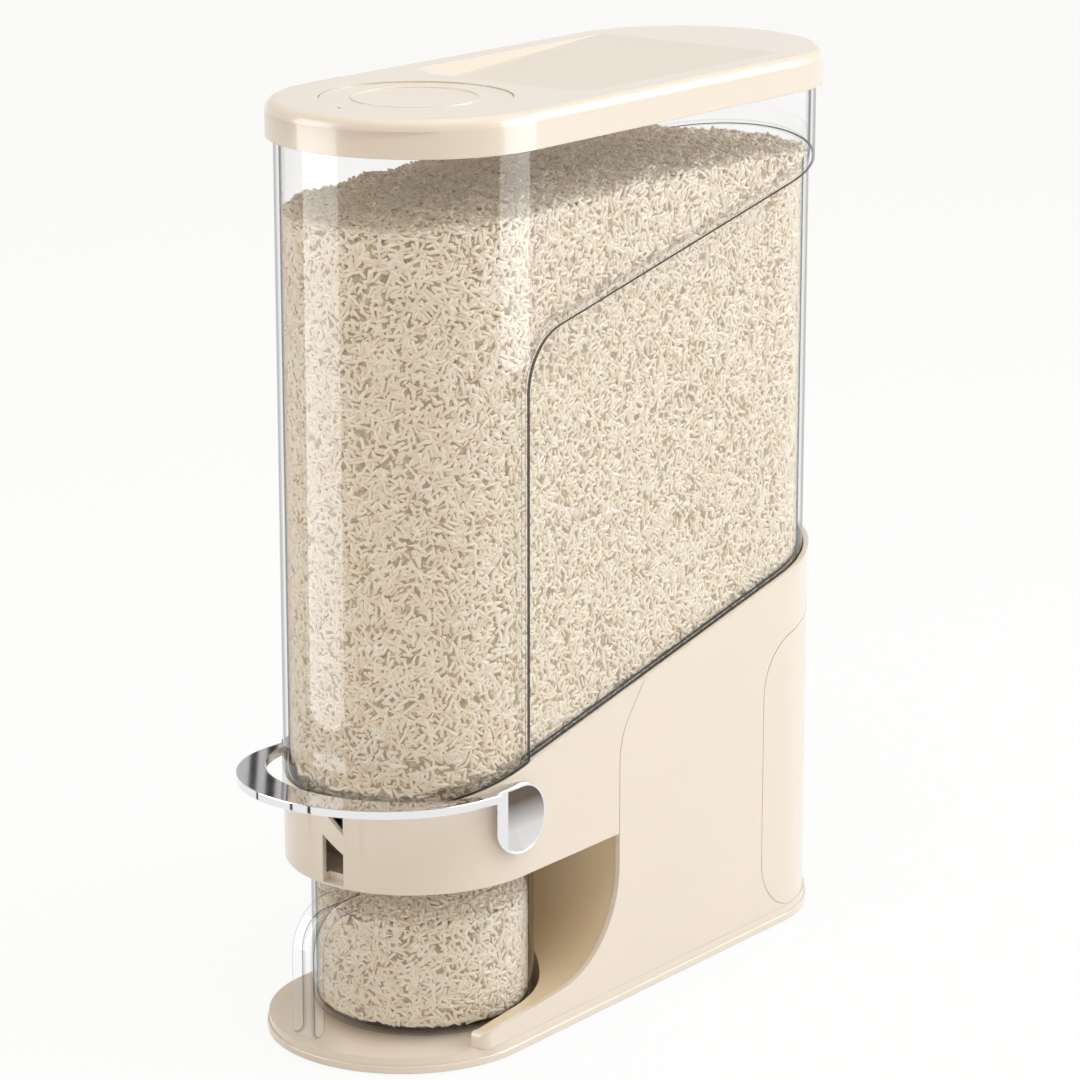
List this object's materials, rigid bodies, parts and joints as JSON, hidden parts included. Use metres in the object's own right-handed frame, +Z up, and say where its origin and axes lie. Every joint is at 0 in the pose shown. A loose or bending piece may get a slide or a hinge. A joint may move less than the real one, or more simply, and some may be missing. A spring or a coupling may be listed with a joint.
{
  "type": "rice dispenser",
  "caption": "Tall clear rice hopper with a lid, on a slanted plastic stand, with a sprung press ring that opens a gate over a measuring cup.",
  "frame": {"origin": "centre of the part's footprint box, at the underside of the rubber feet", "axes": "+Z up, -Y towards the cup and the press ring, +X to the right of someone facing the cup's back"},
  "size_m": [0.1392, 0.3808, 0.45],
  "materials": {
    "cream_plastic": "gloss",
    "foot_rubber": "matte",
    "screw_steel": "satin",
    "clear_silicone": "matte",
    "bush_nylon": "matte",
    "spring_steel": "satin",
    "ring_chrome": "polished",
    "ear_satin": "satin",
    "pin_steel": "satin",
    "gate_plastic": "gloss",
    "tank_clear": "gloss",
    "cup_clear": "gloss",
    "rice_grain": "matte",
    "tray_plastic": "matte",
    "pack_paper": "matte"
  },
  "bodies": {
    "stand": {"base_plate": "cream_plastic", "rubber_feet": "foot_rubber", "base_screws": "screw_steel", "cover_screws": "screw_steel", "stand_column": "cream_plastic", "rear_cover": "cream_plastic", "cup_bay_liner": "cream_plastic", "hopper_cradle": "cream_plastic", "dispensing_head": "cream_plastic", "head_screws": "screw_steel", "outlet_chute": "cream_plastic", "chute_gasket": "clear_silicone", "pivot_bushes": "bush_nylon", "return_springs": "spring_steel"},
    "lever": {"press_ring": "ring_chrome", "ear_plate_left": "ear_satin", "ear_plate_right": "ear_satin", "pivot_pins": "pin_steel", "gate_yoke": "gate_plastic"},
    "hopper": {"hopper_tank": "tank_clear", "rice_in_hopper": "rice_grain"},
    "lid": {"lid_shell": "cream_plastic", "lid_gasket": "clear_silicone"},
    "cap": {"freshness_cap": "cream_plastic", "cap_seal": "clear_silicone", "desiccant_tray": "tray_plastic", "desiccant_pack": "pack_paper"},
    "cup": {"measuring_cup": "cup_clear", "rice_in_cup": "rice_grain"}
  },
  "joints": [
    {"name": "press_lever", "type": "hinge", "parent": "stand", "child": "lever", "pos_m": [0, -0.0981, 0.1175], "axis": [1, 0, 0], "range_deg": [0, 20], "stiffness_Nm_per_rad": 0.5, "springref_deg": -20.05},
    {"name": "hopper_lift", "type": "slide", "parent": "stand", "child": "hopper", "axis": [0, 0, 1], "range_m": [0, 0.12]},
    {"name": "lid_lift", "type": "slide", "parent": "hopper", "child": "lid", "axis": [0, 0, 1], "range_m": [0, 0.05]},
    {"name": "cap_lift", "type": "slide", "parent": "lid", "child": "cap", "axis": [0, 0, 1], "range_m": [0, 0.03]},
    {"name": "cup_pull", "type": "slide", "parent": "stand", "child": "cup", "axis": [0, -1, 0], "range_m": [0, 0.15]}
  ]
}
